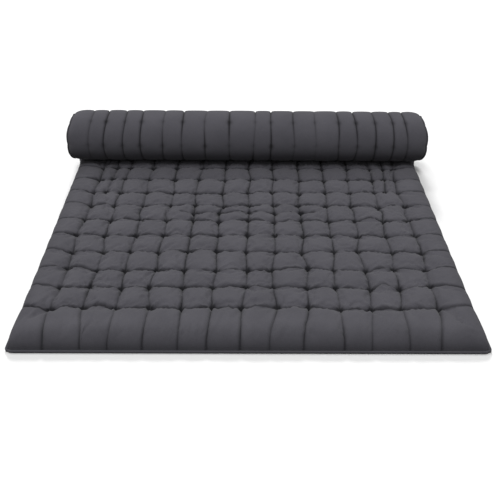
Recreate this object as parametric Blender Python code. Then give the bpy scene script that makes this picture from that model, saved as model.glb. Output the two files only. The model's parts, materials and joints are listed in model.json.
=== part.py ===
"""A hand-tufted cotton futon mattress, lying flat with its far end rolled up on itself.

Metres, +Z up, +X across the width, +Y from the flat front edge towards the roll. The origin is under
the middle of the whole outline, on the floor. The cloth and the filling of the rolled end are cut
into short segments, each with its own empty on the line where the cloth bends.
"""

import math

import bmesh
import bpy

# Driving sizes of the mattress, laid out flat.
WIDTH = 1.39
LENGTH = 2.0
THICKNESS = 0.045
CLOTH = 0.0015
CORNER_RADIUS = 0.03

# The sewn edge, a flat flange of folded cloth that runs round the outline at floor level.
SEAM_REACH = 0.005
SEAM_THICKNESS = 0.003
SEAM_LIFT = 0.002

# The shoulder of the cloth between the seam and the flat top.
SHOULDER_RISE = 0.024
SHOULDER_INSET = 0.006
CROWN_INSET = 0.05

# Tufting: thread drawn through both covers at each knot, carried along each row inside.
TUFT_MARGIN_SIDE = 0.11
TUFT_COLUMNS = 13
TUFT_MARGIN_END = 0.15
TUFT_ROW_PITCH = 0.10
SHORT_ROW_AFTER = 6
SHORT_ROW_TUFTS = 6
THREAD = 0.0012
NEEDLE_HOLE = 0.0026
STITCH_PROUD = 0.001

# The roll: the cloth leaves the floor at CURL_START and winds up inwards.
CURL_START = 1.125
SEGMENT = 0.05
ROLL_CORE = 0.0175
TURN_GAP = 0.0011

# Clearance between pieces that touch.
GAP = 0.0003

ROLLED = LENGTH - CURL_START
SEGMENT_COUNT = int(ROLLED / SEGMENT + 0.49)
CHORD_SAG = SEGMENT**2 / (8 * (ROLL_CORE + 2 * THICKNESS))
TURN_PITCH = THICKNESS + CHORD_SAG + TURN_GAP
TIGHTENING = TURN_PITCH / math.tau
ROLL_RADIUS = math.sqrt((ROLL_CORE + THICKNESS) ** 2 + 2 * TIGHTENING * ROLLED)
RUN_SPACE = THREAD + 2 * GAP
FILL_BOTTOM = CLOTH + GAP
FILL_TOP = THICKNESS - CLOTH - GAP - RUN_SPACE
RUN_HEIGHT = FILL_TOP + GAP
TUFT_ROWS = round((LENGTH - 2 * TUFT_MARGIN_END) / TUFT_ROW_PITCH) + 1
SHORT_ROW_AT = TUFT_MARGIN_END + TUFT_ROW_PITCH * (SHORT_ROW_AFTER - 0.5)
TUFT_COLUMN_PITCH = (WIDTH - 2 * TUFT_MARGIN_SIDE) / (TUFT_COLUMNS - 1)

COVER_GREY = (0.085, 0.082, 0.09, 1.0)
SEAM_GREY = (0.07, 0.068, 0.075, 1.0)
THREAD_GREY = (0.055, 0.053, 0.06, 1.0)
COTTON_WHITE = (0.72, 0.69, 0.62, 1.0)


def clear_scene():
    for thing in list(bpy.data.objects):
        bpy.data.objects.remove(thing, do_unlink=True)


def make_material(name, colour, roughness):
    material = bpy.data.materials.new(name)
    material.use_nodes = True
    shader = material.node_tree.nodes["Principled BSDF"]
    shader.inputs["Base Color"].default_value = colour
    shader.inputs["Roughness"].default_value = roughness
    shader.inputs["Metallic"].default_value = 0.0
    return material


def curl_angle(arc):
    """Heading of the cloth, in radians, after that length of it has left the floor."""
    return (ROLL_RADIUS - math.sqrt(ROLL_RADIUS**2 - 2 * TIGHTENING * arc)) / TIGHTENING


def curl_point(arc):
    """Place of the outer cloth, as distance behind the start of the curl and height."""
    turn = curl_angle(arc)
    radius = ROLL_RADIUS - TIGHTENING * turn
    behind = radius * math.sin(turn) - TIGHTENING * math.cos(turn) + TIGHTENING
    height = ROLL_RADIUS - radius * math.cos(turn) - TIGHTENING * math.sin(turn)
    return behind, height


def segment_stations():
    """Lengths of rolled cloth at which the segments begin, and its end."""
    stations = [SEGMENT * index for index in range(SEGMENT_COUNT)]
    stations.append(ROLLED)
    return stations


STATIONS = segment_stations()
BENDS = [curl_point(arc) for arc in STATIONS]
ROLL_REACH = max(behind for behind, height in BENDS)
FRONT_Y = -(CURL_START + ROLL_REACH - SEAM_REACH) / 2
CURL_Y = FRONT_Y + CURL_START


def front_outline(inset, height):
    """Open outline at the flat end: up the left side, round both front corners, back on the right."""
    half = WIDTH / 2 - inset
    front = FRONT_Y + inset
    radius = max(CORNER_RADIUS - inset, 0.004)
    points = [(-half, CURL_Y, height)]
    for side, start in ((-1, math.pi), (1, 1.5 * math.pi)):
        for step in range(4):
            angle = start + step * math.pi / 6
            x = side * (half - radius) + radius * math.cos(angle)
            y = front + radius + radius * math.sin(angle)
            points.append((x, y, height))
    points.append((half, CURL_Y, height))
    return points


def tuft_xs(count=TUFT_COLUMNS):
    first = -TUFT_COLUMN_PITCH * (count - 1) / 2
    return [first + TUFT_COLUMN_PITCH * index for index in range(count)]


def flat_rows():
    """Tuft rows of the flat part, as name, distance from the front edge and places across."""
    rows = []
    for index in range(TUFT_ROWS):
        distance = TUFT_MARGIN_END + TUFT_ROW_PITCH * index
        if distance < CURL_START:
            rows.append((f"tuft_row_{index + 1:02d}", distance, tuft_xs()))
    rows.append(("tuft_row_short", SHORT_ROW_AT, tuft_xs(SHORT_ROW_TUFTS)))
    return rows


def needle_hole(x, y, height):
    corners = []
    for step in range(3):
        angle = math.pi / 2 + step * math.tau / 3
        corners.append((x + NEEDLE_HOLE * math.cos(angle), y + NEEDLE_HOLE * math.sin(angle), height))
    return corners


def row_slot(xs, y, height):
    reach = NEEDLE_HOLE
    left, right = xs[0] - reach, xs[-1] + reach
    half = THREAD / 2 + 2 * GAP
    return [(left, y - half, height), (right, y - half, height), (right, y + half, height), (left, y + half, height)]


def add_loop(bm, points):
    return [bm.verts.new(point) for point in points]


def bridge(bm, lower, upper, closed=True):
    last = len(lower) if closed else len(lower) - 1
    for index in range(last):
        after = (index + 1) % len(lower)
        bm.faces.new((lower[index], lower[after], upper[after], upper[index]))


def fill_face(bm, loops):
    """Triangles over a flat face whose first loop is its outline and whose others are holes."""
    edges = []
    for loop in loops:
        for index, vert in enumerate(loop):
            after = loop[(index + 1) % len(loop)]
            edges.append(bm.edges.get((vert, after)) or bm.edges.new((vert, after)))
    bmesh.ops.triangle_fill(bm, edges=edges, use_beauty=True)


def finish_object(name, bm, material, parent=None):
    bmesh.ops.recalc_face_normals(bm, faces=bm.faces)
    mesh = bpy.data.meshes.new(name)
    if parent is not None:
        bmesh.ops.translate(bm, verts=bm.verts, vec=-parent.location)
    bm.to_mesh(mesh)
    bm.free()
    mesh.materials.append(material)
    thing = bpy.data.objects.new(name, mesh)
    bpy.context.scene.collection.objects.link(thing)
    thing.parent = parent
    return thing


def lofted_block(name, loops, holes_at, material):
    """Closed block through loops from the lowest to the highest, with straight holes through it."""
    bm = bmesh.new()
    rings = [add_loop(bm, loop) for loop in loops]
    for lower, upper in zip(rings, rings[1:]):
        bridge(bm, lower, upper)
    low, high = loops[0][0][2], loops[-1][0][2]
    low_holes = [add_loop(bm, hole) for hole in holes_at(low)]
    high_holes = [add_loop(bm, hole) for hole in holes_at(high)]
    for lower, upper in zip(low_holes, high_holes):
        bridge(bm, lower, upper)
    fill_face(bm, [rings[0], *low_holes])
    fill_face(bm, [rings[-1], *high_holes])
    return finish_object(name, bm, material)


def needle_holes_at(height):
    return [needle_hole(x, FRONT_Y + distance, height) for _, distance, xs in flat_rows() for x in xs]


def row_slots_at(height):
    return [row_slot(xs, FRONT_Y + distance, height) for _, distance, xs in flat_rows()]


def make_bottom_cover(material):
    loops = [front_outline(0, 0), front_outline(0, CLOTH)]
    lofted_block("bottom_cover", loops, needle_holes_at, material)


def make_batting(material):
    loops = [
        front_outline(CLOTH + GAP + SHOULDER_INSET, FILL_BOTTOM),
        front_outline(CLOTH + GAP + SHOULDER_INSET, SHOULDER_RISE - CLOTH),
        front_outline(CLOTH + GAP + CROWN_INSET, FILL_TOP),
    ]
    lofted_block("batting", loops, row_slots_at, material)


def make_top_cover(material):
    """Top cover: flat crown, sloping shoulder and a rim that stands on the sewn edge."""
    rim = SEAM_LIFT + SEAM_THICKNESS + GAP
    outer = [front_outline(0, rim), front_outline(SHOULDER_INSET, SHOULDER_RISE), front_outline(CROWN_INSET, THICKNESS)]
    inner = [
        front_outline(CLOTH, rim),
        front_outline(SHOULDER_INSET + CLOTH, SHOULDER_RISE - CLOTH / 2),
        front_outline(CROWN_INSET, THICKNESS - CLOTH),
    ]
    bm = bmesh.new()
    outer_rings = [add_loop(bm, loop) for loop in outer]
    inner_rings = [add_loop(bm, loop) for loop in inner]
    for rings in (outer_rings, inner_rings):
        for lower, upper in zip(rings, rings[1:]):
            bridge(bm, lower, upper, closed=False)
    bridge(bm, outer_rings[0], inner_rings[0], closed=False)
    for end in (0, -1):
        for level in range(len(outer) - 1):
            bm.faces.new((
                outer_rings[level][end], outer_rings[level + 1][end],
                inner_rings[level + 1][end], inner_rings[level][end],
            ))
    crown, ceiling = outer_rings[-1], inner_rings[-1]
    bm.faces.new((crown[0], crown[-1], ceiling[-1], ceiling[0]))
    top_holes = [add_loop(bm, hole) for hole in needle_holes_at(THICKNESS)]
    under_holes = [add_loop(bm, hole) for hole in needle_holes_at(THICKNESS - CLOTH)]
    for lower, upper in zip(under_holes, top_holes):
        bridge(bm, lower, upper)
    fill_face(bm, [crown, *top_holes])
    fill_face(bm, [ceiling, *under_holes])
    finish_object("top_cover", bm, material)


def make_edge_seam(material):
    """Sewn edge of the flat part: a flange that stands out from between the two covers."""
    bm = bmesh.new()
    rings = []
    for inset, height in (
        (-SEAM_REACH, SEAM_LIFT), (-SEAM_REACH, SEAM_LIFT + SEAM_THICKNESS),
        (CLOTH, SEAM_LIFT + SEAM_THICKNESS), (CLOTH, SEAM_LIFT),
    ):
        rings.append(add_loop(bm, front_outline(inset, height)))
    for ring, after in zip(rings, rings[1:] + rings[:1]):
        bridge(bm, ring, after, closed=False)
    for end in (0, -1):
        bm.faces.new([ring[end] for ring in rings])
    finish_object("edge_seam", bm, material)


def make_thread_row(name, y, xs, material):
    """One thread: its run under the top cover, with a stitch up and a leg down at each tuft."""
    half = THREAD / 2
    run_low, run_high = RUN_HEIGHT, RUN_HEIGHT + THREAD
    outline = []
    for x in xs:
        outline += [(x - half, run_high), (x - half, THICKNESS + STITCH_PROUD),
                    (x + half, THICKNESS + STITCH_PROUD), (x + half, run_high)]
    for x in reversed(xs):
        outline += [(x + half, run_low), (x + half, GAP), (x - half, GAP), (x - half, run_low)]
    bm = bmesh.new()
    near = add_loop(bm, [(x, y - half, z) for x, z in outline])
    far = add_loop(bm, [(x, y + half, z) for x, z in outline])
    bridge(bm, near, far)
    fill_face(bm, [near])
    fill_face(bm, [far])
    finish_object(name, bm, material)


def segment_frame(index):
    """Start, direction and length of a segment, and the lean of its two mitred ends."""
    (y0, z0), (y1, z1) = BENDS[index], BENDS[index + 1]
    length = math.hypot(y1 - y0, z1 - z0)
    return (y0, z0), ((y1 - y0) / length, (z1 - z0) / length), length


def heading(index):
    if index < 0:
        return 0.0
    _, (along_y, along_z), _ = segment_frame(index)
    angle = math.atan2(along_z, along_y)
    while index and angle < heading(index - 1):
        angle += math.tau
    return angle


HEADINGS = [heading(index) for index in range(SEGMENT_COUNT)]
TURNS = [here - before for before, here in zip([0.0, *HEADINGS], HEADINGS)]


def in_segment(index, x, along, inward):
    """World place of a point given across, along the segment's outer cloth and into the roll."""
    (y0, z0), (dy, dz), _ = segment_frame(index)
    return (x, CURL_Y + y0 + along * dy - inward * dz, z0 + along * dz + inward * dy)


def sleeve_section(inset):
    """Cross-section of the covers, across and inwards, drawn in by a wall."""
    half = WIDTH / 2 - inset
    return [
        (-half, inset), (half, inset), (half - SHOULDER_INSET, SHOULDER_RISE - inset / 2),
        (half - CROWN_INSET, THICKNESS - inset), (CROWN_INSET - half, THICKNESS - inset),
        (SHOULDER_INSET - half, SHOULDER_RISE - inset / 2),
    ]


def end_lean(index, ending):
    """Slope of a segment's end: it halves the angle to its neighbour, and meets the flat part upright."""
    if ending:
        return math.tan(TURNS[index + 1] / 2) if index + 1 < SEGMENT_COUNT else 0.0
    return math.tan(TURNS[index] / 2) if index else math.tan(TURNS[index])


def segment_loop(bm, index, section, ending):
    """The cross-section at one end of a segment."""
    _, _, length = segment_frame(index)
    lean = end_lean(index, ending)
    loop = []
    for x, inward in section:
        along = length - GAP / 2 - inward * lean if ending else GAP / 2 + inward * lean
        loop.append(bm.verts.new(in_segment(index, x, along, inward)))
    return loop


def make_segment_cover(index, parent, material):
    bm = bmesh.new()
    outer = [segment_loop(bm, index, sleeve_section(0), ending) for ending in (False, True)]
    inner = [segment_loop(bm, index, sleeve_section(CLOTH), ending) for ending in (False, True)]
    bridge(bm, outer[0], outer[1])
    bridge(bm, inner[0], inner[1])
    bridge(bm, outer[0], inner[0])
    bridge(bm, outer[1], inner[1])
    finish_object(f"roll_cover_{index + 1:02d}", bm, material, parent)


def make_segment_batting(index, parent, material):
    section = sleeve_section(CLOTH + GAP)
    top = THICKNESS - CLOTH - GAP
    section = [(x, inward - RUN_SPACE if inward == top else inward) for x, inward in section]
    bm = bmesh.new()
    ends = [segment_loop(bm, index, section, ending) for ending in (False, True)]
    bridge(bm, ends[0], ends[1])
    for end in ends:
        bm.faces.new(end)
    finish_object(f"roll_batting_{index + 1:02d}", bm, material, parent)


def make_segment_thread(index, row, distance, parent, material):
    """The run of a tufting thread under the top cover, at its distance along a rolled segment."""
    xs = tuft_xs()
    half = THREAD / 2
    _, _, length = segment_frame(index)
    start_room, end_room = (THICKNESS * end_lean(index, ending) + THREAD for ending in (False, True))
    middle = min(max(distance, start_room), length - end_room)
    bm = bmesh.new()
    ends = []
    for x in (xs[0], xs[-1]):
        corners = [(-half, RUN_HEIGHT), (half, RUN_HEIGHT), (half, RUN_HEIGHT + THREAD), (-half, RUN_HEIGHT + THREAD)]
        ends.append(add_loop(bm, [in_segment(index, x, middle + along, inward) for along, inward in corners]))
    bridge(bm, ends[0], ends[1])
    for end in ends:
        bm.faces.new(end)
    finish_object(f"tuft_row_{row + 1:02d}", bm, material, parent)


def make_end_seam(parent, material):
    """Sewn edge across the inner end of the roll."""
    index = SEGMENT_COUNT - 1
    _, _, length = segment_frame(index)
    half = WIDTH / 2
    bm = bmesh.new()
    loops = []
    for inward in (SEAM_LIFT, SEAM_LIFT + SEAM_THICKNESS):
        corners = [(-half, length + GAP), (half, length + GAP), (half, length + SEAM_REACH), (-half, length + SEAM_REACH)]
        loops.append(add_loop(bm, [in_segment(index, x, along, inward) for x, along in corners]))
    bridge(bm, loops[0], loops[1])
    for loop in loops:
        bm.faces.new(loop)
    finish_object("end_seam", bm, material, parent)


def make_pivot(index, parent):
    """Empty on the line of outer cloth where this segment bends from the one before it."""
    behind, height = BENDS[index]
    pivot = bpy.data.objects.new(f"bend_{index + 1:02d}", None)
    bpy.context.scene.collection.objects.link(pivot)
    pivot.location = (0, CURL_Y + behind, height)
    return pivot


def make_roll(cover, batting, thread, seam):
    for index in range(SEGMENT_COUNT):
        pivot = make_pivot(index, None)
        make_segment_cover(index, pivot, cover)
        make_segment_batting(index, pivot, batting)
        start = CURL_START + STATIONS[index]
        for row in range(TUFT_ROWS):
            distance = TUFT_MARGIN_END + TUFT_ROW_PITCH * row
            if start <= distance < CURL_START + STATIONS[index + 1]:
                make_segment_thread(index, row, distance - start, pivot, thread)
    make_end_seam(pivot, seam)


clear_scene()
cover_cloth = make_material("cover_cloth", COVER_GREY, 0.92)
seam_cloth = make_material("seam_cloth", SEAM_GREY, 0.9)
tufting_thread = make_material("tufting_thread", THREAD_GREY, 0.8)
cotton_batting = make_material("cotton_batting", COTTON_WHITE, 0.95)
make_bottom_cover(cover_cloth)
make_batting(cotton_batting)
make_top_cover(cover_cloth)
make_edge_seam(seam_cloth)
for row_name, row_distance, row_xs in flat_rows():
    make_thread_row(row_name, FRONT_Y + row_distance, row_xs, tufting_thread)
make_roll(cover_cloth, cotton_batting, tufting_thread, seam_cloth)
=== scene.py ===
"""Looks of a hand-tufted cotton futon mattress with its far end rolled up on itself."""
import json
import math

import bpy
import numpy as np
from mathutils import Matrix, Vector, noise

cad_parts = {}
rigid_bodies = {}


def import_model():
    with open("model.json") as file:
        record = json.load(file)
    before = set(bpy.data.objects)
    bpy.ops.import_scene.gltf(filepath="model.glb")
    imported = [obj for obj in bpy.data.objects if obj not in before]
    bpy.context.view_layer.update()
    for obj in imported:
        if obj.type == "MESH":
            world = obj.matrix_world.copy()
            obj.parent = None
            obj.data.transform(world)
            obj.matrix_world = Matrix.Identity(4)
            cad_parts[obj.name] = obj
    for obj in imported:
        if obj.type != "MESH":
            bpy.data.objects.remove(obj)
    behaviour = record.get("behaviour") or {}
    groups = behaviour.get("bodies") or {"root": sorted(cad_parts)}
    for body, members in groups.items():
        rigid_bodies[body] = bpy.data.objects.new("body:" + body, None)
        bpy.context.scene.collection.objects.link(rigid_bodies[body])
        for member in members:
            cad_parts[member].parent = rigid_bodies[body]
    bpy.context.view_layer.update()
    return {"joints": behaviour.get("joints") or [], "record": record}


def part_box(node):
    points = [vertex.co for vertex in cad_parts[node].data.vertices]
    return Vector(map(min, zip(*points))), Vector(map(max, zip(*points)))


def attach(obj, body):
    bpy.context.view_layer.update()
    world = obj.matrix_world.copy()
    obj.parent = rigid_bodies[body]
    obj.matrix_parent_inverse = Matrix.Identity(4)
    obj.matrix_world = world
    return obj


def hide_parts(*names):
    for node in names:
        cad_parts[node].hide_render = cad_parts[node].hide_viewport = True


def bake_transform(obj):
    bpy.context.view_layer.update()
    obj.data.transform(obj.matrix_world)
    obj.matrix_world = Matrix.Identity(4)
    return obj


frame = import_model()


# ---- The way the cloth lies: flat on the floor, then up and round the roll ----
# The mattress is one long quilted pad. Its underside lies on the floor as far as the first bend and
# then follows the bends of the roll, so every place on it is a width, a length and a depth of padding.

flat_low, flat_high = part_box("bottom_cover")
seam_low, seam_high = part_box("edge_seam")
end_low, end_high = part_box("end_seam")
HALF_WIDTH = (flat_high.x - flat_low.x) / 2
SEAM_LOW, SEAM_HIGH = seam_low.z, seam_high.z
FRONT = flat_low.y
BEND_LENGTH = 0.05
LAST_LENGTH = 0.075
BENDS = np.array([joint["pos_m"][1:] for joint in frame["joints"]])
FLAT_LENGTH = BENDS[0, 0] - FRONT
LENGTH = FLAT_LENGTH + BEND_LENGTH * (len(BENDS) - 1) + LAST_LENGTH
STATIONS = FLAT_LENGTH + BEND_LENGTH * np.arange(len(BENDS))
ENDS = np.append(STATIONS[1:], LENGTH)
KNOTS = np.vstack([BENDS, [[(end_low.y + end_high.y) / 2, (end_low.z + end_high.z) / 2]]])


def knot_headings():
    """Direction of the underside at each bend, in radians up from level, growing along the roll."""
    steps = np.diff(KNOTS, axis=0)
    chords = np.unwrap(np.arctan2(steps[:, 1], steps[:, 0]))
    inner = (chords[1:] + chords[:-1]) / 2
    return np.concatenate([[0.0], inner, [2 * chords[-1] - inner[-1]]])


HEADINGS = knot_headings()


def lay(x, s, depth):
    """World places for points across, along the underside from the front, and up into the padding."""
    x, s, depth = np.broadcast_arrays(x, s, depth)
    k = np.clip(np.searchsorted(STATIONS, s, side="right") - 1, 0, len(STATIONS) - 1)
    t = (s - STATIONS[k]) / (ENDS[k] - STATIONS[k])
    size = (ENDS[k] - STATIONS[k])[..., None]
    tangents = np.stack([np.cos(HEADINGS), np.sin(HEADINGS)], -1)
    a, b = KNOTS[k], KNOTS[k + 1]
    ta, tb = tangents[k] * size, tangents[k + 1] * size
    t = t[..., None]
    place = a * (2 * t**3 - 3 * t**2 + 1) + ta * (t**3 - 2 * t**2 + t)
    place = place + b * (3 * t**2 - 2 * t**3) + tb * (t**3 - t**2)
    slope = a * (6 * t**2 - 6 * t) + ta * (3 * t**2 - 4 * t + 1)
    slope = slope + b * (6 * t - 6 * t**2) + tb * (3 * t**2 - 2 * t)
    slope = slope / np.linalg.norm(slope, axis=-1, keepdims=True)
    flat = (s < FLAT_LENGTH)[..., None]
    place = np.where(flat, np.stack([FRONT + s, np.zeros_like(s)], -1), place)
    slope = np.where(flat, [1.0, 0.0], slope)
    y = place[..., 0] - depth * slope[..., 1]
    z = place[..., 1] + depth * slope[..., 0]
    return np.stack([x, y, z], -1)


def heading_at(s):
    """Direction of the underside at any distance along it, in radians up from level."""
    return np.interp(s, np.append(STATIONS, LENGTH), HEADINGS, left=0.0)


# ---- The tufts: where the padding is tied down ----
# Tufts are tied by eye along chalked lines, so the rows and columns wander a little. The far half
# has one more column near each side, the rolled end two, and the middle has a short extra row.

chance = np.random.default_rng(7)
COLUMNS = 13
SIDE_MARGIN = 0.108
FIRST_ROW, SECOND_ROW = 0.168, 0.260
ROW_PITCH = 0.10
ROWS = 18
SHORT_ROW = 0.710
SHORT_REACH = 0.27
FIFTEEN_FROM, SEVENTEEN_FROM = 0.80, 1.20
ROLL_SIDE_MARGIN = 0.075
ROLL_BUNCHING = 0.14
WANDER = 0.005
END_FOLD_WANDER = 0.020
WHOLE_SPAN, HALF_SPAN, SPAN_LIMIT = 22, 12, 0.07
EDGE_CLOSENESS, LINE_CLOSENESS = 1.7, 0.35
ROLL_BEGINS, ROLL_FULL, SPREAD_FULL = FLAT_LENGTH + 0.01, FLAT_LENGTH + 0.08, FLAT_LENGTH + 0.22
LEFT_OUT = 0.1

columns = np.linspace(-HALF_WIDTH + SIDE_MARGIN, HALF_WIDTH - SIDE_MARGIN, COLUMNS)
outer_extras = [(columns[0] + columns[1]) / 2, (columns[-1] + columns[-2]) / 2]
inner_extras = [(columns[1] + columns[2]) / 2, (columns[-2] + columns[-3]) / 2]
x_lines = np.sort(np.concatenate([[-HALF_WIDTH, HALF_WIDTH], outer_extras, inner_extras, columns]))
roll_share = np.linspace(-1, 1, len(x_lines) - 2)
roll_share = (1 + ROLL_BUNCHING) * roll_share - ROLL_BUNCHING * roll_share**3
roll_lines = (HALF_WIDTH - ROLL_SIDE_MARGIN) * roll_share
x_roll_lines = np.concatenate([x_lines[:1], roll_lines, x_lines[-1:]])
rows = np.append(FIRST_ROW, SECOND_ROW + ROW_PITCH * np.arange(ROWS - 1))
s_lines = np.sort(np.concatenate([[0.0, LENGTH, SHORT_ROW], rows]))
starts = np.where(np.isin(x_lines, outer_extras), FIFTEEN_FROM, -1.0)
starts = np.where(np.isin(x_lines, inner_extras), SEVENTEEN_FROM, starts)
s_is_short = s_lines == SHORT_ROW
rolled = s_lines > FLAT_LENGTH + ROW_PITCH

node_shape = (len(x_lines), len(s_lines))
shift_x = chance.normal(0, WANDER, node_shape)
shift_s = chance.normal(0, WANDER, node_shape) + chance.normal(0, 0.7 * WANDER, len(s_lines))[None, :]
shift_x[:, rolled] = 0.5 * shift_x[:, rolled] + chance.normal(0, 1.2 * WANDER, len(x_lines))[:, None]
shift_s[:, s_lines > FLAT_LENGTH - ROW_PITCH] = 0
shift_s[:, [0, -1]] = 0
shift_x[:, 0] = chance.uniform(-END_FOLD_WANDER, END_FOLD_WANDER, len(x_lines))
shift_x[[0, -1], :] = 0
tie_strength = chance.uniform(0.75, 1.25, node_shape)
row_strength = chance.uniform(0.7, 1.15, node_shape)
column_strength = chance.uniform(0.35, 1.3, node_shape)
roll_strength = chance.uniform(0.25, 1.3, node_shape)
roll_strength = roll_strength * chance.uniform(0.45, 1.25, len(x_lines))[:, None]


def grid_line(lines):
    """Places along one direction, as line number plus a share, closer together beside each line."""
    places = []
    for index, span in enumerate(np.diff(lines)):
        count = WHOLE_SPAN if span > SPAN_LIMIT else HALF_SPAN
        t = np.arange(count) / count
        if index == 0:
            t = t**EDGE_CLOSENESS
        elif index == len(lines) - 2:
            t = 1 - (1 - t) ** EDGE_CLOSENESS
        else:
            t = t - LINE_CLOSENESS * np.sin(math.tau * t) / math.tau
        places.append(index + t)
    return np.append(np.concatenate(places), len(lines) - 1)


u_grid, v_grid = grid_line(x_lines), grid_line(s_lines)
U, V = np.meshgrid(u_grid, v_grid, indexing="ij")
i_node = np.clip(U.astype(int), 0, len(x_lines) - 2)
j_node = np.clip(V.astype(int), 0, len(s_lines) - 2)


def between(values):
    """A value known at the tufts, read off smoothly between them over the whole mattress."""
    a, b = U - i_node, V - j_node
    a, b = a * a * (3 - 2 * a), b * b * (3 - 2 * b)
    low = values[i_node, j_node] * (1 - a) + values[i_node + 1, j_node] * a
    high = values[i_node, j_node + 1] * (1 - a) + values[i_node + 1, j_node + 1] * a
    return low * (1 - b) + high * b


def step(value, start, end):
    """A smooth rise from 0 at start to 1 at end."""
    t = np.clip((value - start) / (end - start), 0, 1)
    return t * t * (3 - 2 * t)


s_plain = np.interp(V, np.arange(len(s_lines)), s_lines)
on_roll = step(s_plain, ROLL_BEGINS, ROLL_FULL)
spread = step(s_plain, FLAT_LENGTH, SPREAD_FULL)
x_plain = np.interp(U, np.arange(len(x_lines)), x_lines) * (1 - spread)
x_plain += np.interp(U, np.arange(len(x_lines)), x_roll_lines) * spread

short_on = 1 - step(abs(x_plain), SHORT_REACH - 0.03, SHORT_REACH + 0.05)
row_gap, row_side = np.full(U.shape, 1.0), np.zeros(U.shape)
for s_line, short in zip(s_lines[1:-1], s_is_short[1:-1]):
    gap = abs(s_plain - s_line) + (LEFT_OUT * (1 - short_on) if short else 0)
    row_side = np.where(gap < row_gap, s_plain - s_line, row_side)
    row_gap = np.minimum(row_gap, gap)
column_gap, column_side = np.full(U.shape, 1.0), np.zeros(U.shape)
for flat_line, roll_line, begins in zip(x_lines[1:-1], x_roll_lines[1:-1], starts[1:-1]):
    line = flat_line * (1 - spread) + roll_line * spread
    gap = abs(x_plain - line) + LEFT_OUT * (1 - step(s_plain, begins, begins + 0.06))
    column_side = np.where(gap < column_gap, x_plain - line, column_side)
    column_gap = np.minimum(column_gap, gap)
tuft_gap = np.hypot(row_gap, column_gap)


def lumps(x_scale, s_scale, size, seed):
    """Unevenness of hand-laid cotton, or of the cloth over it, longer one way than the other."""
    values = np.empty(U.size)
    for index, (x, s) in enumerate(zip(x_plain.ravel(), s_plain.ravel())):
        values[index] = noise.noise(Vector((x / x_scale, s / s_scale, seed)))
    return values.reshape(U.shape) * size


# ---- The two covers, padded with cotton ----
# Two panels of charcoal plain-weave cotton, sewn together right round, turned, and filled with
# carded cotton. Tied tufts pull the covers down into cells with sharp folds between them.

BASE = 0.035
LIFT_SHARE, WRINKLE_SHARE = 0.50, 1.55
SMOOTHINGS = 12
PUCKER, PUCKER_REACH = 0.0021, 0.017
CREASE, DEEPEST_CREASE = 0.0068, 1.6
CREASE_WIDTH, BORDER_CREASE_WIDTH = 0.003, 0.0008
COLUMN_SHARE, BORDER_COLUMN_PULL = 0.9, 0.35
PLEAT, PLEAT_WIDTH = 0.0054, 0.0025
TIE_DEPTH, TIE_REACH = 0.006, 0.0065
CROWN, CROWN_GIVE = 0.046, 0.4
ROLL_FLATTENING = 0.12
SHOULDER_SIDE, SHOULDER_END = 0.034, 0.058
CLOTH_STEP = 0.0062
CUT_LARGE = 0.05
EDGE_LIFT = 0.010
EDGE_BAND, EDGE_FULLNESS = 0.045, 0.014
BORDER, BORDER_FADE = 0.15, 0.06
SETTLE_FRAMES = 12
SHEAR_START, SHEAR_END = -0.020, 0.010
LUMPS = lumps(0.09, 0.09, 0.0020, 3.0)

shear = SHEAR_START + (SHEAR_END - SHEAR_START) * np.clip(s_plain / FLAT_LENGTH, 0, 1)
x_cloth = x_plain + between(shift_x) + shear * (1 - (x_plain / HALF_WIDTH) ** 6)
s_cloth = s_plain + between(shift_s)


def tied_places():
    """Where each tuft really is, across and along."""
    ties = []
    for i, begins in list(enumerate(starts))[1:-1]:
        for j, s_line in list(enumerate(s_lines))[1:-1]:
            at = (np.argmin(abs(u_grid - i)), np.argmin(abs(v_grid - j)))
            left_out = s_is_short[j] and abs(x_cloth[at]) > SHORT_REACH
            if s_line > begins and not left_out:
                ties.append((x_cloth[at], s_cloth[at]))
    return np.array(ties)


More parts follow.
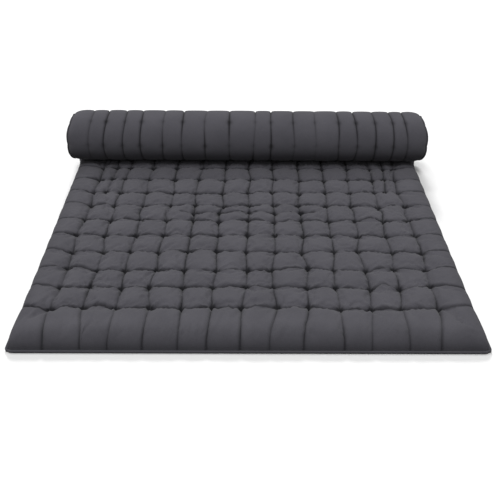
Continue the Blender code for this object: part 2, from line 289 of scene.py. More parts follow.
def settled_cover():
    """The top cover as loose cloth: cut a little large, sewn at its edges, tied down and lifted."""
    across, along = round(2 * HALF_WIDTH / CLOTH_STEP) + 1, round(LENGTH / CLOTH_STEP) + 1
    x_even, s_even = np.linspace(-HALF_WIDTH, HALF_WIDTH, across), np.linspace(0, LENGTH, along)
    x, s = np.meshgrid(x_even, s_even, indexing="ij")
    ties = tied_places()
    i_tied = np.rint((ties[:, 0] + HALF_WIDTH) / (2 * HALF_WIDTH) * (across - 1)).astype(int)
    j_tied = np.rint(ties[:, 1] / LENGTH * (along - 1)).astype(int)
    held = np.zeros(x.shape, bool)
    held[i_tied, j_tied] = True
    height = chance.normal(0, 0.0006, x.shape)
    height[held] = 0
    for edge in (np.s_[0], np.s_[-1], np.s_[:, 0], np.s_[:, -1]):
        held[edge] = True
        height[edge] = EDGE_LIFT
    flat = np.stack([x, s, height], -1)
    number = np.arange(x.size).reshape(x.shape)
    faces = np.stack([number[:-1, :-1], number[1:, :-1], number[1:, 1:], number[:-1, 1:]], -1)
    faces = faces.reshape(-1, 4)
    mesh = bpy.data.meshes.new("loose_cover")
    mesh.from_pydata(flat.reshape(-1, 3).tolist(), [], faces.tolist())
    cover = bpy.data.objects.new("loose_cover", mesh)
    scene = bpy.context.scene
    scene.collection.objects.link(cover)
    cover.vertex_groups.new(name="held").add(np.flatnonzero(held).tolist(), 1.0, "REPLACE")
    cloth = cover.modifiers.new("cloth", "CLOTH")
    cloth.collision_settings.use_collision = False
    cloth.point_cache.frame_end = SETTLE_FRAMES
    cloth.settings.quality = 4
    cloth.settings.mass = 0.05
    cloth.settings.air_damping = 6
    cloth.settings.tension_stiffness = 30
    cloth.settings.compression_stiffness = 30
    cloth.settings.shear_stiffness = 12
    cloth.settings.bending_stiffness = 0.02
    cloth.settings.tension_damping = 10
    cloth.settings.compression_damping = 10
    cloth.settings.shear_damping = 10
    cloth.settings.bending_damping = 1
    cloth.settings.vertex_group_mass = "held"
    cloth.settings.shrink_min = -CUT_LARGE
    cloth.settings.effector_weights.gravity = 1.2
    gravity = scene.gravity.copy()
    scene.gravity = (0, 0, 9.81)
    for frame_number in range(1, SETTLE_FRAMES + 1):
        scene.frame_set(frame_number)
    settled = np.empty(x.size * 3)
    shaped = cover.evaluated_get(bpy.context.evaluated_depsgraph_get())
    shaped.data.vertices.foreach_get("co", settled)
    scene.frame_set(1)
    scene.gravity = gravity
    bpy.data.objects.remove(cover)
    bpy.data.meshes.remove(mesh)
    return settled.reshape(*x.shape, 3) - np.stack([x, s, np.zeros(x.shape)], -1)


def read_off(field, x, s):
    """A field known on an even grid over the cover, read off with a smooth cubic at any place."""
    a = np.clip((x + HALF_WIDTH) / (2 * HALF_WIDTH), 0, 1) * (field.shape[0] - 1)
    b = np.clip(s / LENGTH, 0, 1) * (field.shape[1] - 1)
    i = np.minimum(a.astype(int), field.shape[0] - 2)
    j = np.minimum(b.astype(int), field.shape[1] - 2)

    def weights(t):
        return (
            -0.5 * t + t**2 - 0.5 * t**3, 1 - 2.5 * t**2 + 1.5 * t**3,
            0.5 * t + 2 * t**2 - 1.5 * t**3, -0.5 * t**2 + 0.5 * t**3,
        )

    total = np.zeros((*x.shape, field.shape[2]))
    for p, w_x in enumerate(weights(a - i)):
        rows_read = np.clip(i + p - 1, 0, field.shape[0] - 1)
        for q, w_s in enumerate(weights(b - j)):
            columns_read = np.clip(j + q - 1, 0, field.shape[1] - 1)
            total += (w_x * w_s)[..., None] * field[rows_read, columns_read]
    return total


def near(gap, reach):
    """1 on a line, dying away over its reach."""
    return np.exp(-gap / reach)


def rounded(distance, reach, fullness=2.6):
    """The height of a rounded edge: 0 at the edge and 1 from its reach inwards."""
    t = np.clip(distance / reach, 0, 1)
    return (1 - (1 - t) ** fullness) ** (1 / fullness)


from_end, from_side = np.minimum(s_plain, LENGTH - s_plain), HALF_WIDTH - abs(x_plain)
border = 1 - step(from_end, BORDER - BORDER_FADE, BORDER)
row_pull, column_pull = between(row_strength), between(column_strength)
tie = between(tie_strength) * near(tuft_gap, TIE_REACH)
column_pull = column_pull + BORDER_COLUMN_PULL * border
column_width = CREASE_WIDTH + BORDER_CREASE_WIDTH * border
crease = row_pull * near(row_gap, CREASE_WIDTH) + COLUMN_SHARE * column_pull * near(column_gap, column_width)
nearest = np.rint(U).astype(int), np.rint(V).astype(int)
fold_count = chance.integers(4, 8, node_shape)[nearest]
fold_turn = chance.uniform(0, math.tau, node_shape)[nearest]
puckers = np.cos(fold_count * np.arctan2(row_side, column_side) + fold_turn)
puckers *= PUCKER * tuft_gap / PUCKER_REACH * np.exp(0.5 - 0.5 * (tuft_gap / PUCKER_REACH) ** 2)
gathers = lumps(0.013, 0.10, 0.0048, 5.0) * border
wrinkles = lumps(0.026, 0.010, 0.0010, 8.0) * (1 - on_roll)
settled = settled_cover()
broad = settled[..., 2]
for _ in range(SMOOTHINGS):
    wide = np.pad(broad, 1, mode="edge")
    broad = (wide[:-2, 1:-1] + wide[2:, 1:-1] + wide[1:-1, :-2] + wide[1:-1, 2:]) / 4
settled[..., 2] = LIFT_SHARE * broad + WRINKLE_SHARE * (settled[..., 2] - broad)
lift = read_off(settled, x_cloth, s_cloth)
inland = step(np.minimum(from_side, from_end), 0.0, EDGE_BAND)
lift = lift * inland[..., None]
top_depth = BASE + lift[..., 2] + EDGE_FULLNESS * (1 - inland) + LUMPS + (gathers + wrinkles + puckers)
top_depth -= (1 - CROWN_GIVE) * np.maximum(top_depth - CROWN, 0)
top_depth -= CREASE * np.minimum(crease, DEEPEST_CREASE) + TIE_DEPTH * tie
x_top, s_top = x_cloth + lift[..., 0], s_cloth + lift[..., 1]

pressed = near(abs(s_plain - FLAT_LENGTH), 0.05)
top_depth = top_depth * (1 - ROLL_FLATTENING * np.maximum(pressed, on_roll))

SEAM_MIDDLE = (SEAM_LOW + SEAM_HIGH) / 2
ROLL_SEAM, SEAM_DROOP = 0.019, 0.013
hanging = np.maximum(np.cos(heading_at(s_plain)), 0)
seam_depth = SEAM_MIDDLE + (ROLL_SEAM - SEAM_DROOP * hanging - SEAM_MIDDLE) * on_roll
shoulder = rounded(from_side, SHOULDER_SIDE) * rounded(from_end, SHOULDER_END, 2.0)
top_depth = seam_depth + (top_depth - seam_depth) * shoulder

pleat = between(roll_strength) * near(column_gap, PLEAT_WIDTH)
under_flat = 0.0006 + 0.003 * tie + 0.0012 * near(row_gap, 0.01)
under_roll = -0.0012 + 0.0014 * near(column_gap, 0.012) + PLEAT * pleat + 0.002 * tie + 0.4 * LUMPS
under_depth = under_flat + (under_roll - under_flat) * on_roll
belly = rounded(from_side, 0.055, 2.2) * (on_roll + (1 - on_roll) * step(from_side, 0, 0.02))
belly = belly * rounded(from_end, 0.02)
under_depth = seam_depth + (under_depth - seam_depth) * belly

ROLL_SPREAD = 0.017
scallop = 0.004 * (1 - near(row_gap, 0.03)) - 0.001 - 0.003 * step(s_plain, 0.0, 0.3) * (1 - on_roll)
sideways = np.sign(x_plain) * scallop * step(abs(x_plain), HALF_WIDTH - 0.08, HALF_WIDTH)
widening = 1 + ROLL_SPREAD / HALF_WIDTH * abs(np.sin(heading_at(s_plain)))
x_top, x_under = (x_top + sideways) * widening, (x_cloth + sideways) * widening


# Each step of the bead: how far it reaches past the covers' edge, and its half thickness there.
BEAD = [(0.0, 0.0006), (0.0008, 0.0030), (0.0028, 0.0045), (0.0054, 0.0041), (0.0070, 0.0018)]
LOWEST = 0.0002


def with_seam(x, s, depth, side):
    """The cloth with the turned and sewn edge added all round: a firm bead beyond a stitched crease."""
    middle = seam_depth
    last_reach = 0.0
    for reach, rise in BEAD[1:]:
        grow = reach - last_reach
        x = np.pad(x, 1, mode="edge")
        s = np.pad(s, 1, mode="edge")
        x[0], x[-1] = x[0] - grow, x[-1] + grow
        s[:, 0], s[:, -1] = s[:, 0] - grow, s[:, -1] + grow
        middle = np.pad(middle, 1, mode="edge")
        depth = np.pad(depth, 1, constant_values=np.nan)
        depth = np.where(np.isnan(depth), np.maximum(middle + side * rise, LOWEST), depth)
        last_reach = reach
    return x, s, depth


top = with_seam(x_top, s_top, top_depth + BEAD[0][1] * (shoulder <= 0), 1)
under = with_seam(x_under, s_cloth, under_depth - BEAD[0][1] * (belly <= 0), -1)
TURNED_CORNER = 0.014


def turned(x, s, depth):
    """The same places with the four corners of the mattress turned round instead of square."""
    a = np.maximum(abs(x) - (HALF_WIDTH - TURNED_CORNER), 0) / TURNED_CORNER
    b = np.maximum(abs(s - LENGTH / 2) - (LENGTH / 2 - TURNED_CORNER), 0) / TURNED_CORNER
    share = np.maximum(a, b) / np.maximum(np.hypot(a, b), 1e-9)
    share = np.where((a > 0) & (b > 0), share, 1.0)
    x = x - np.sign(x) * a * TURNED_CORNER * (1 - share)
    s = s - np.sign(s - LENGTH / 2) * b * TURNED_CORNER * (1 - share)
    return x, s, depth


top_places, under_places = lay(*turned(*top)), lay(*turned(*under))

# Painted shade: a value on each point of the cloth that pulls its colour towards a near-black. It stands in
# for the shade in the creases, round the tufts, on the low faces, in the roll's pleats and tuck, and along
# the bead and seam.
BEAD_ROWS = len(BEAD) - 1
END_SHADE, SIDE_SHADE, SHADE_FADE = 0.085, 0.05, 1.3
TUFT_SHADE_REACH = 0.0105
PAINTED_BEAD_SHADE, PAINTED_SEAM_SHADE = 0.3, 0.8
# Painted shade along the row and column creases, lighter across the border, and a round patch of painted
# shade at each tuft.
painted_crease_shade = row_pull * near(row_gap, 0.0034) + column_pull * near(column_gap, 0.0032) * (1 - 0.45 * border)
painted_tuft_shade = between(tie_strength) * np.exp(-((tuft_gap / TUFT_SHADE_REACH) ** 2))
# Painted shade down the low rounded faces at the ends and sides, growing towards the seam.
end_face_shade = np.clip(1 - from_end / END_SHADE, 0, 1) ** SHADE_FADE
side_face_shade = np.clip(1 - from_side / SIDE_SHADE, 0, 1) ** SHADE_FADE
painted_low_face_shade = np.maximum(0.50 * end_face_shade, 0.30 * side_face_shade)
top_painted_shade = np.clip(0.95 * painted_crease_shade + 1.5 * painted_tuft_shade + painted_low_face_shade, 0, 1) * (1 - 0.4 * on_roll)
top_painted_shade = np.pad(top_painted_shade, BEAD_ROWS)
# Painted shade in the thin pleats on the outside of the roll, and where the roll tucks under against itself.
painted_pleat_shade = on_roll * between(roll_strength) * near(column_gap, 0.0026)
painted_tuck_shade = 0.75 * step(heading_at(s_plain), 4.5, 6.1)
under_painted_shade = 1.1 * painted_pleat_shade + 0.45 * painted_tuft_shade * between(roll_strength) + painted_tuck_shade
under_painted_shade = np.pad(np.clip(under_painted_shade, 0, 1), BEAD_ROWS)
# Painted shade over the bead, and darker painted shade in the stitched crease beside it.
for painted_shade in (top_painted_shade, under_painted_shade):
    painted_shade[: BEAD_ROWS + 1] = painted_shade[-BEAD_ROWS - 1 :] = PAINTED_BEAD_SHADE
    painted_shade[:, : BEAD_ROWS + 1] = painted_shade[:, -BEAD_ROWS - 1 :] = PAINTED_BEAD_SHADE
    painted_shade[BEAD_ROWS] = painted_shade[-BEAD_ROWS - 1] = PAINTED_SEAM_SHADE
    painted_shade[:, BEAD_ROWS] = painted_shade[:, -BEAD_ROWS - 1] = PAINTED_SEAM_SHADE
flat_places = np.stack([top[0], top[1]], -1)
reaches = np.array([reach for reach, rise in BEAD[1:]])
s_nominal = np.concatenate([-reaches[::-1], s_plain[0], LENGTH + reaches])
UNDER_CLOTH = (3.0, 0.0)


def cloth_piece(name, first, last, material):
    """Closed pad between two grid rows: the top cover, the bottom cover, and an end at each row."""
    across = top_places.shape[0]
    rows_used = range(first, last + 1)
    places, flat, painted_shade_rows = [], [], []
    for row in rows_used:
        painted_shade_rows.append(np.concatenate([top_painted_shade[:, row], under_painted_shade[::-1, row]]))
        places.append(np.concatenate([top_places[:, row], under_places[::-1, row]]))
        flat.append(np.concatenate([flat_places[:, row], flat_places[::-1, row] + UNDER_CLOTH]))
    places, flat = np.concatenate(places), np.concatenate(flat)
    ring = 2 * across
    k = np.arange(ring)
    r = np.arange(len(rows_used) - 1)[:, None]
    after = (k + 1) % ring
    quads = np.stack([r * ring + k, r * ring + after, (r + 1) * ring + after, (r + 1) * ring + k], -1)
    quads = quads.reshape(-1, 4)
    c = np.arange(across - 1)
    last_row = (len(rows_used) - 1) * ring
    near_end = np.stack([c, ring - 1 - c, ring - 2 - c, c + 1], -1)
    far_end = np.stack([c, c + 1, ring - 2 - c, ring - 1 - c], -1) + last_row
    faces = np.concatenate([quads, near_end, far_end])
    mesh = bpy.data.meshes.new(name)
    mesh.from_pydata(places.tolist(), [], faces.tolist())
    uv = mesh.uv_layers.new(name="cloth")
    corners = np.empty(len(mesh.loops), int)
    mesh.loops.foreach_get("vertex_index", corners)
    uv.data.foreach_set("uv", flat[corners].astype(np.float32).ravel())
    # Store the painted shade on each point, for the cloth's material to read.
    mesh.attributes.new("painted_shade", "FLOAT", "POINT").data.foreach_set("value", np.concatenate(painted_shade_rows))
    mesh.shade_smooth()
    sharp = np.zeros(len(mesh.edges), bool)
    ends = np.empty(len(mesh.edges) * 2, int)
    mesh.edges.foreach_get("vertices", ends)
    ends = ends.reshape(-1, 2)
    for row, open_end in ((0, first > 0), (len(rows_used) - 1, last < len(s_nominal) - 1)):
        if open_end:
            sharp |= ((ends // ring) == row).all(1)
    mesh.attributes.new("sharp_edge", "BOOLEAN", "EDGE").data.foreach_set("value", sharp)
    mesh.materials.append(material)
    thing = bpy.data.objects.new(name, mesh)
    bpy.context.scene.collection.objects.link(thing)
    return thing


class Amount:
    """A shader value: sums, products and powers of it add their own Math nodes."""

    def __init__(self, socket):
        self.socket = socket

    def maths(self, operation, other=0.0, swapped=False):
        tree = self.socket.id_data
        node = tree.nodes.new("ShaderNodeMath")
        node.operation = operation
        for place, side in zip(node.inputs, (other, self) if swapped else (self, other)):
            if isinstance(side, Amount):
                tree.links.new(side.socket, place)
            else:
                place.default_value = side
        return Amount(node.outputs[0])

    def __add__(self, other):
        return self.maths("ADD", other)

    def __radd__(self, other):
        return self.maths("ADD", other, True)

    def __sub__(self, other):
        return self.maths("SUBTRACT", other)

    def __rsub__(self, other):
        return self.maths("SUBTRACT", other, True)

    def __mul__(self, other):
        return self.maths("MULTIPLY", other)

    def __rmul__(self, other):
        return self.maths("MULTIPLY", other, True)

    def __pow__(self, other):
        return self.maths("POWER", other)


class Finish:
    """A material's node tree, with one call for any node in it."""

    def __init__(self, name, roughness):
        self.material = bpy.data.materials.new(name)
        self.material.use_nodes = True
        self.tree = self.material.node_tree
        self.shader = self.tree.nodes["Principled BSDF"]
        self.shader.inputs["Roughness"].default_value = roughness

    def node(self, kind, settings=None, output=0, **sockets):
        node = self.tree.nodes.new(kind)
        for name, value in (settings or {}).items():
            setattr(node, name, value)
        for name, value in sockets.items():
            self.give(node.inputs[name.replace("_", " ")], value)
        return Amount(node.outputs[output])

    def give(self, place, value):
        if isinstance(value, Amount):
            self.tree.links.new(value.socket, place)
        else:
            place.default_value = value

    def mixed(self, first, second, share):
        """Two colours mixed, from the first at a share of 0 to the second at 1."""
        colour = self.node("ShaderNodeMix", {"data_type": "RGBA"}, output=2, Factor=share)
        self.give(colour.socket.node.inputs[6], first)
        self.give(colour.socket.node.inputs[7], second)
        return colour


COVER_SHADE = (0.070, 0.068, 0.080, 1)
PAINTED_FOLD_SHADE = (0.005, 0.005, 0.007, 1)
COVER_LIGHT = (0.104, 0.101, 0.117, 1)
PAINTED_SHADE_SHARE = 0.92
THREAD_FINE, THREAD_LONG = 1500.0, 90.0


def woven_cotton(name, dark, light, roughness):
    """Plain-weave cotton: slubbed threads both ways, slightly uneven dye, a soft bloom of fibre, and painted
    shade read from the mesh.
    """
    finish = Finish(name, roughness)
    place = finish.node("ShaderNodeUVMap", {"uv_map": "cloth"})
    warp_place = finish.node("ShaderNodeMapping", Vector=place, Scale=(THREAD_FINE, THREAD_LONG, 1.0))
    weft_place = finish.node("ShaderNodeMapping", Vector=place, Scale=(THREAD_LONG, THREAD_FINE, 1.0))
    over_cloth = {"noise_dimensions": "2D"}
    warp = finish.node("ShaderNodeTexNoise", over_cloth, Vector=warp_place, Scale=1.0, Detail=2.0)
    weft = finish.node("ShaderNodeTexNoise", over_cloth, Vector=weft_place, Scale=1.0, Detail=2.0)
    dye = finish.node("ShaderNodeTexNoise", over_cloth, Vector=place, Scale=9.0, Detail=4.0)
    threads = (warp + weft) * 0.5
    tone = (threads - 0.5) * 1.6 + (dye - 0.5) * 0.9 + 0.5
    painted_shade = finish.node("ShaderNodeAttribute", {"attribute_name": "painted_shade"}, output=2)
    # Painted shade: the woven colour is mixed towards the painted fold shade as far as the painted shade
    # attribute asks.
    colour = finish.mixed(finish.mixed(dark, light, tone), PAINTED_FOLD_SHADE, painted_shade * PAINTED_SHADE_SHARE)
    finish.give(finish.shader.inputs["Base Color"], colour)
    bump = finish.node("ShaderNodeBump", Height=threads, Strength=0.35, Distance=0.0006)
    finish.give(finish.shader.inputs["Normal"], bump)
    finish.shader.inputs["Sheen Weight"].default_value = 0.12
    finish.shader.inputs["Sheen Roughness"].default_value = 0.6
    finish.shader.inputs["Specular IOR Level"].default_value = 0.2
    return finish.material


cover_cloth = woven_cotton("charcoal_plain_weave", COVER_SHADE, COVER_LIGHT, 0.95)


def row_at(s):
    return int(np.argmin(abs(s_nominal - s)))


middles = (STATIONS + np.append(STATIONS[1:], STATIONS[-1] + BEND_LENGTH)) / 2
cuts = [row_at(STATIONS[0] - BEND_LENGTH / 2)] + [row_at(s) for s in middles[:-1]] + [len(s_nominal) - 1]
flat_pad = cloth_piece("flat_padding", 0, cuts[0], cover_cloth)
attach(flat_pad, "flat_part")
flat_nodes = frame["record"]["behaviour"]["bodies"]["flat_part"]
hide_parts(*flat_nodes)

joint_bodies = [(joint["parent"], joint["child"]) for joint in frame["joints"]]
blends = []
for number, (before, after) in enumerate(joint_bodies):
    first, last = cuts[number], cuts[number + 1]
    strip = cloth_piece(f"roll_padding_{number + 1:02d}", first, last, cover_cloth)
    s_from, s_to = s_nominal[first], middles[number]
    ends = lay(np.zeros(2), np.array([s_from, s_to]), np.zeros(2))
    along = ends[1] - ends[0]
    along /= np.linalg.norm(along)
    near_row = np.concatenate([top_places[:, first], under_places[:, first]])
    far_index = row_at(s_to)
    far_row = np.concatenate([top_places[:, far_index], under_places[:, far_index]])
    start = ((near_row - ends[0]) @ along).max()
    end = ((far_row - ends[0]) @ along).min()
    blends.append((ends[0] + along * start, ends[0] + along * end))
    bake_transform(strip)
    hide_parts(*frame["record"]["behaviour"]["bodies"][after])


# ---- The stitching: tufts tied through, and the edge sewn down ----
# Each tuft is three turns of grey cotton thread tied down through the padding, and one row of small
# running stitches goes right round the edge, just inside the turned bead.

TUFT_THREADS, TUFT_SPREAD = 3, 0.0016
TUFT_LENGTH, TUFT_THICK = 0.0080, 0.0016
TUFT_SWING, TUFT_RISE = 0.5, 0.4
EDGE_PITCH, EDGE_LENGTH, EDGE_THICK = 0.0085, 0.0052, 0.0012
LOOK_AHEAD = 0.002
THREAD_DARK = (0.030, 0.030, 0.036, 1)
THREAD_LIGHT = (0.060, 0.058, 0.068, 1)


def thread_finish():
    """Twisted cotton thread, a little darker than the cover."""
    finish = Finish("twisted_thread", 0.9)
    place = finish.node("ShaderNodeTexCoord", output=3)
    ply = finish.node("ShaderNodeTexNoise", Vector=place, Scale=900.0, Detail=1.0)
    colour = finish.mixed(THREAD_DARK, THREAD_LIGHT, ply)
    finish.give(finish.shader.inputs["Base Color"], colour)
    bump = finish.node("ShaderNodeBump", Height=ply, Strength=0.4, Distance=0.0003)
    finish.give(finish.shader.inputs["Normal"], bump)
    return finish.material


def stitch_tree(material):
    """A node tree that lays one rounded stitch along each point's own direction."""
    tree = bpy.data.node_groups.new("stitches", "GeometryNodeTree")
    face = tree.interface
    face.new_socket("Geometry", in_out="INPUT", socket_type="NodeSocketGeometry")
    face.new_socket("Stitch Length", in_out="INPUT", socket_type="NodeSocketFloat")
    face.new_socket("Thread Thickness", in_out="INPUT", socket_type="NodeSocketFloat")
    face.new_socket("Unevenness", in_out="INPUT", socket_type="NodeSocketFloat")
    face.new_socket("Geometry", in_out="OUTPUT", socket_type="NodeSocketGeometry")

    def node(kind, **settings):
        made = tree.nodes.new(kind)
        for name, value in settings.items():
            setattr(made, name, value)
        return made

    given, result = node("NodeGroupInput"), node("NodeGroupOutput")
    bead = node("GeometryNodeMeshUVSphere")
    bead.inputs["Segments"].default_value = 6
    bead.inputs["Rings"].default_value = 4
    bead.inputs["Radius"].default_value = 0.5
    size = node("ShaderNodeCombineXYZ")
    shaped = node("GeometryNodeTransform")
    along, up = node("GeometryNodeInputNamedAttribute"), node("GeometryNodeInputNamedAttribute")
    for reader, name in ((along, "along"), (up, "up")):
        reader.data_type = "FLOAT_VECTOR"
        reader.inputs["Name"].default_value = name
    turn = node("FunctionNodeAxesToRotation", primary_axis="X", secondary_axis="Z")
    points = node("GeometryNodeMeshToPoints")
    uneven = node("FunctionNodeRandomValue", data_type="FLOAT")
    uneven.inputs["Seed"].default_value = 11
    shortest = node("ShaderNodeMath", operation="SUBTRACT")
    shortest.inputs[0].default_value = 1.0
    placed = node("GeometryNodeInstanceOnPoints")
    whole, coated = node("GeometryNodeRealizeInstances"), node("GeometryNodeSetMaterial")
    coated.inputs["Material"].default_value = material
    links = (
        (given.outputs["Stitch Length"], size.inputs["X"]),
        (given.outputs["Thread Thickness"], size.inputs["Y"]),
        (given.outputs["Thread Thickness"], size.inputs["Z"]),
        (bead.outputs["Mesh"], shaped.inputs["Geometry"]),
        (size.outputs["Vector"], shaped.inputs["Scale"]),
        (given.outputs["Geometry"], points.inputs["Mesh"]),
        (points.outputs["Points"], placed.inputs["Points"]),
        (shaped.outputs["Geometry"], placed.inputs["Instance"]),
        (along.outputs["Attribute"], turn.inputs["Primary Axis"]),
        (up.outputs["Attribute"], turn.inputs["Secondary Axis"]),
        (turn.outputs["Rotation"], placed.inputs["Rotation"]),
        (given.outputs["Unevenness"], shortest.inputs[1]),
        (shortest.outputs["Value"], uneven.inputs[2]),
        (uneven.outputs[1], placed.inputs["Scale"]),
        (placed.outputs["Instances"], whole.inputs["Geometry"]),
        (whole.outputs["Geometry"], coated.inputs["Geometry"]),
        (coated.outputs["Geometry"], result.inputs["Geometry"]),
    )
    for start, finish in links:
        tree.links.new(start, finish)
    return tree


def sewn(name, places, along, up, tree, sizes):
    """One body's stitches as a plain mesh, from their places and directions."""
    mesh = bpy.data.meshes.new(name + "_places")
    mesh.from_pydata(places.tolist(), [], [])
    mesh.attributes.new("along", "FLOAT_VECTOR", "POINT").data.foreach_set("vector", along.ravel())
    mesh.attributes.new("up", "FLOAT_VECTOR", "POINT").data.foreach_set("vector", up.ravel())
    holder = bpy.data.objects.new(name + "_places", mesh)
    bpy.context.scene.collection.objects.link(holder)
    sewing = holder.modifiers.new("stitches", "NODES")
    sewing.node_group = tree
    for socket in tree.interface.items_tree:
        if socket.in_out == "INPUT" and socket.name in sizes:
            sewing[socket.identifier] = sizes[socket.name]
    done = holder.evaluated_get(bpy.context.evaluated_depsgraph_get())
    made = bpy.data.meshes.new_from_object(done)
    made.name = name
    bpy.data.objects.remove(holder)
    bpy.data.meshes.remove(mesh)
    thing = bpy.data.objects.new(name, made)
    bpy.context.scene.collection.objects.link(thing)
    return thing


def surface_frame(i, j):
    """The top cover's place, its direction across and its way up, at a grid point inside the bead."""
    i, j = i + BEAD_ROWS, j + BEAD_ROWS
    across = top_places[i + 1, j] - top_places[i - 1, j]
    along = top_places[i, j + 1] - top_places[i, j - 1]
    across, along = across / np.linalg.norm(across), along / np.linalg.norm(along)
    up = np.cross(across, along)
    return top_places[i, j], across, up / np.linalg.norm(up)


def tuft_stitches():
    """Places, directions and ways up of the tuft threads, with how far along the mattress each is."""
    found = []
    for i, begins in list(enumerate(starts))[1:-1]:
        for j, s_line in list(enumerate(s_lines))[1:-1]:
            at = (int(np.argmin(abs(u_grid - i))), int(np.argmin(abs(v_grid - j))))
            if s_line <= begins or (s_is_short[j] and abs(x_cloth[at]) > SHORT_REACH):
                continue
            place, across, up = surface_frame(*at)
            sideways = np.cross(up, across)
            swing = chance.uniform(-TUFT_SWING, TUFT_SWING)
            lie = across * math.cos(swing) + sideways * math.sin(swing)
            beside = np.cross(up, lie)
            for turn_number in range(TUFT_THREADS):
                shift = (turn_number - (TUFT_THREADS - 1) / 2) * TUFT_SPREAD
                found.append((s_plain[at], place + up * TUFT_RISE * TUFT_THICK + beside * shift, lie, up))
    return found


def edge_stitches():
    """The same for the running stitches beside the bead, evenly spaced down the sides and ends."""
    found = []
    k = BEAD_ROWS + 2
    lines = (
        (top_places[k, :], s_nominal), (top_places[-k - 1, :], s_nominal),
        (top_places[:, k], None), (top_places[:, -k - 1], None),
    )
    for line, distances in lines:
        steps = np.linalg.norm(np.diff(line, axis=0), axis=1)
        run = np.append(0, np.cumsum(steps))
        for distance in np.arange(EDGE_PITCH, run[-1] - EDGE_PITCH, EDGE_PITCH):
            place = np.array([np.interp(distance, run, line[:, axis]) for axis in range(3)])
            further = distance + LOOK_AHEAD
            ahead = np.array([np.interp(further, run, line[:, axis]) for axis in range(3)])
            lie = (ahead - place) / np.linalg.norm(ahead - place)
            if distances is None:
                s_here = 0.0 if line is lines[2][0] else LENGTH
            else:
                s_here = np.interp(distance, run, distances)
            turn_angle = heading_at(min(max(s_here, 0.0), LENGTH))
            up = np.array([0.0, -math.sin(turn_angle), math.cos(turn_angle)])
            found.append((s_here, place, lie, up))
    return found


thread = thread_finish()
sewing_tree = stitch_tree(thread)
kinds = (
    ("tuft_threads", tuft_stitches(), "tufting_thread", (TUFT_LENGTH, TUFT_THICK, 0.2)),
    ("edge_stitches", edge_stitches(), "tufting_thread", (EDGE_LENGTH, EDGE_THICK, 0.15)),
)
limits = [-1.0] + [s_nominal[cut] for cut in cuts[:-1]] + [LENGTH + 1.0]
for kind, stitches, slot_name, (length, thick, uneven_by) in kinds:
    sizes = {"Stitch Length": length, "Thread Thickness": thick, "Unevenness": uneven_by}
    for number, (from_s, to_s) in enumerate(zip(limits[:-1], limits[1:])):
        chosen = [stitch for stitch in stitches if from_s <= stitch[0] < to_s]
        if not chosen:
            continue
        places, lies, ups = (np.array([stitch[column] for stitch in chosen]) for column in (1, 2, 3))
        name = f"{kind}_flat" if number == 0 else f"{kind}_{number:02d}"
        sewn_piece = sewn(name, places, lies, ups, sewing_tree, sizes)
        if number == 0:
            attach(sewn_piece, "flat_part")
        else:
            before, after = joint_bodies[number - 1]
            blends[number - 1][0]
            blends[number - 1][1]
            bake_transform(sewn_piece)


# ---- The studio: a white floor, soft lights in front and behind, and the camera ----
# A soft light stands high in front and a weaker one behind, so the tops of the cells are lit and the low
# front edge is darker, which painted shade on the cloth deepens. A third lights only the floor, where it
# throws the roll's soft shadow.

FLOOR_REACH, FLOOR_DROP = 40, 0.0012
SKY_HEIGHT, SKY_STRENGTH = 0.45, 0.44
floor_mesh = bpy.data.meshes.new("floor")
floor_corners = [(x * FLOOR_REACH, y * FLOOR_REACH, 0) for x, y in ((-1, -1), (1, -1), (1, 1), (-1, 1))]
floor_mesh.from_pydata(floor_corners, [], [(0, 1, 2, 3)])
floor = bpy.data.objects.new("floor", floor_mesh)
bpy.context.scene.collection.objects.link(floor)
floor.location.z = -FLOOR_DROP
floor_finish = Finish("white_floor", 0.9)
floor_finish.shader.inputs["Base Color"].default_value = (0.8, 0.8, 0.8, 1)
floor_finish.shader.inputs["Emission Color"].default_value = (1, 1, 1, 1)
floor_finish.shader.inputs["Emission Strength"].default_value = 0.02
floor_mesh.materials.append(floor_finish.material)
floor.visible_diffuse = False


def soft_light(name, height, turn, strength, softness):
    """A distant soft light, by its height above level and its turn from straight behind the camera."""
    lamp = bpy.data.lights.new(name, "SUN")
    lamp.energy = strength
    lamp.angle = math.radians(softness)
    holder = bpy.data.objects.new(name, lamp)
    bpy.context.scene.collection.objects.link(holder)
    holder.rotation_euler = (math.radians(90 - height), 0, math.radians(turn))
    return holder


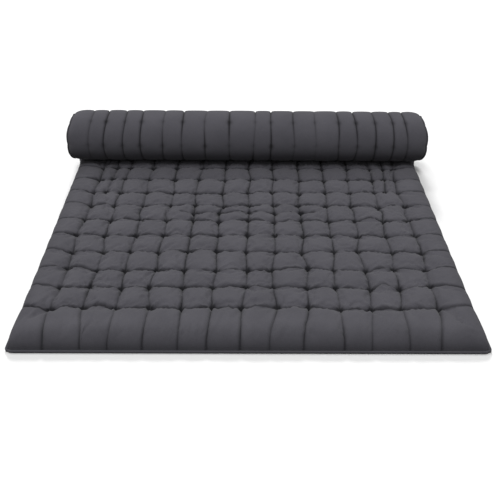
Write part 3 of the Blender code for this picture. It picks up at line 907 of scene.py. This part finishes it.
soft_light("front_light", 64, -14, 1.45, 24)
soft_light("back_light", 56, -150, 0.60, 12)
floor_light = soft_light("floor_light", 31, -176, 2.4, 11)
lit_floor = bpy.data.collections.new("lit_floor")
lit_floor.objects.link(floor)
floor_light.light_linking.receiver_collection = lit_floor
world = bpy.data.worlds.new("studio")
bpy.context.scene.world = world
world.use_nodes = True
backdrop = world.node_tree.nodes["Background"]
sky = world.node_tree.nodes.new("ShaderNodeTexCoord")
height = world.node_tree.nodes.new("ShaderNodeSeparateXYZ")
open_sky = world.node_tree.nodes.new("ShaderNodeMapRange")
open_sky.inputs["From Min"].default_value = 0.0
open_sky.inputs["From Max"].default_value = SKY_HEIGHT
open_sky.inputs["To Max"].default_value = SKY_STRENGTH
world.node_tree.links.new(sky.outputs["Generated"], height.inputs["Vector"])
world.node_tree.links.new(height.outputs["Z"], open_sky.inputs["Value"])
seen = world.node_tree.nodes.new("ShaderNodeLightPath")
brightest = world.node_tree.nodes.new("ShaderNodeMath")
brightest.operation = "MAXIMUM"
world.node_tree.links.new(open_sky.outputs["Result"], brightest.inputs[0])
world.node_tree.links.new(seen.outputs["Is Camera Ray"], brightest.inputs[1])
world.node_tree.links.new(brightest.outputs["Value"], backdrop.inputs["Strength"])
backdrop.inputs["Color"].default_value = (1, 1, 1, 1)
bpy.context.scene.view_settings.view_transform = "Standard"

CAMERA_SIDE, CAMERA_BACK, CAMERA_HEIGHT = -0.024, 1.535, 1.412
CAMERA_PITCH, CAMERA_TURN, CAMERA_ROLL = 34.47, -0.84, 0.71
SENSOR_WIDTH, LENS_PER_WIDTH = 36, 1.43
view = bpy.data.cameras.new("view")
view.sensor_width = SENSOR_WIDTH
view.lens = SENSOR_WIDTH * LENS_PER_WIDTH
camera = bpy.data.objects.new("view", view)
bpy.context.scene.collection.objects.link(camera)
camera.matrix_world = (
    Matrix.Translation((CAMERA_SIDE, FRONT - CAMERA_BACK, CAMERA_HEIGHT))
    @ Matrix.Rotation(math.radians(CAMERA_TURN), 4, "Z")
    @ Matrix.Rotation(math.radians(90 - CAMERA_PITCH), 4, "X")
    @ Matrix.Rotation(math.radians(CAMERA_ROLL), 4, "Z")
)
bpy.context.scene.camera = camera
